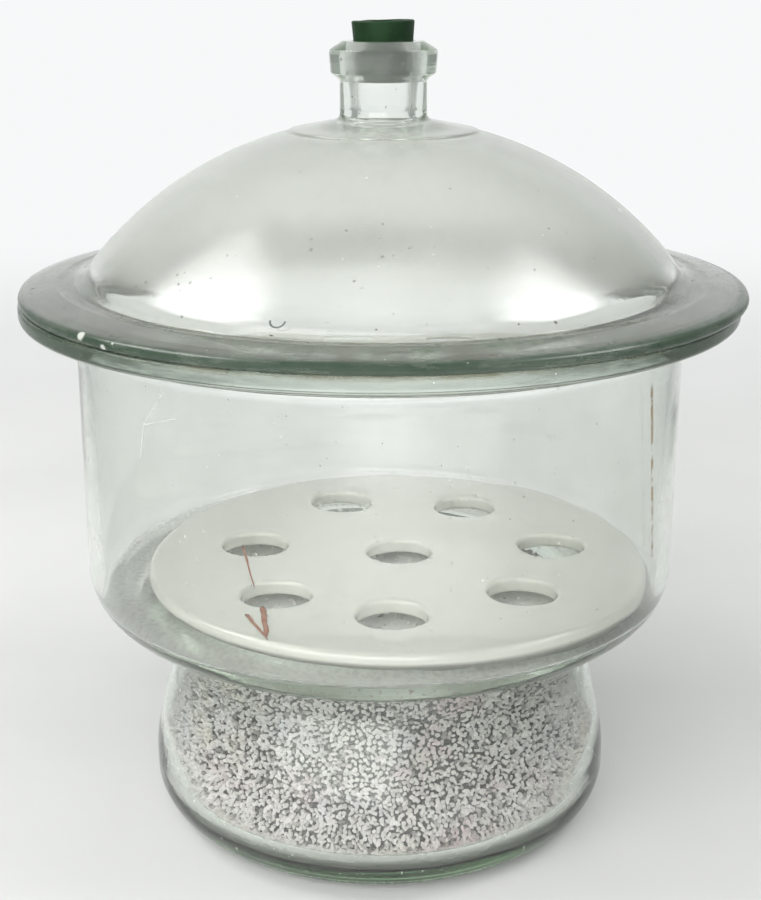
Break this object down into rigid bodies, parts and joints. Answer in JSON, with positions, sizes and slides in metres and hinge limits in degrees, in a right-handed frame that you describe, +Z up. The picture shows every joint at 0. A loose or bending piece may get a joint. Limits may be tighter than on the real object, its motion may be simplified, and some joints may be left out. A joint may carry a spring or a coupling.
{
  "type": "glass desiccator",
  "caption": "Glass drying vessel: waisted base with a ledge for a pierced porcelain plate over drying granules, and a domed lid with a stoppered neck.",
  "frame": {"origin": "centre of the flat under the foot, on the base's axis", "axes": "+Z up along the axis of the base, +X to the right seen from the front, +Y to the back"},
  "size_m": [0.3003, 0.3, 0.34],
  "materials": {
    "pressed_glass": "thick soda-lime glass with a faint green tint, polished, ground matt on the flange face",
    "ground_glass_lid": "thick soda-lime glass with a faint green tint, polished, with a ground matt bore in the neck",
    "porcelain": "glossy white glaze with soft rounded edges",
    "drying_granules": "matt crushed granules, white and grey with faint pink",
    "joint_grease": "thin aged film of joint grease, slightly brown",
    "green_rubber": "dark green rubber, satin"
  },
  "bodies": {
    "base": {"glass_base": "pressed_glass", "desiccant_bed": "drying_granules"},
    "film": {"joint_grease": "joint_grease"},
    "lid": {"glass_lid": "ground_glass_lid"},
    "stopper": {"rubber_stopper": "green_rubber"},
    "plate": {"porcelain_plate": "porcelain"}
  },
  "joints": [
    {"name": "lid_slide", "type": "slide", "parent": "base", "child": "film", "axis": [1, 0, 0], "range_m": [-0.13, 0.13]},
    {"name": "lid_lift", "type": "slide", "parent": "film", "child": "lid", "axis": [0, 0, 1], "range_m": [0, 0.12]},
    {"name": "stopper_pull", "type": "slide", "parent": "lid", "child": "stopper", "axis": [0, 0, 1], "range_m": [0, 0.05]},
    {"name": "plate_lift", "type": "slide", "parent": "base", "child": "plate", "axis": [0, 0, 1], "range_m": [0, 0.11]}
  ]
}
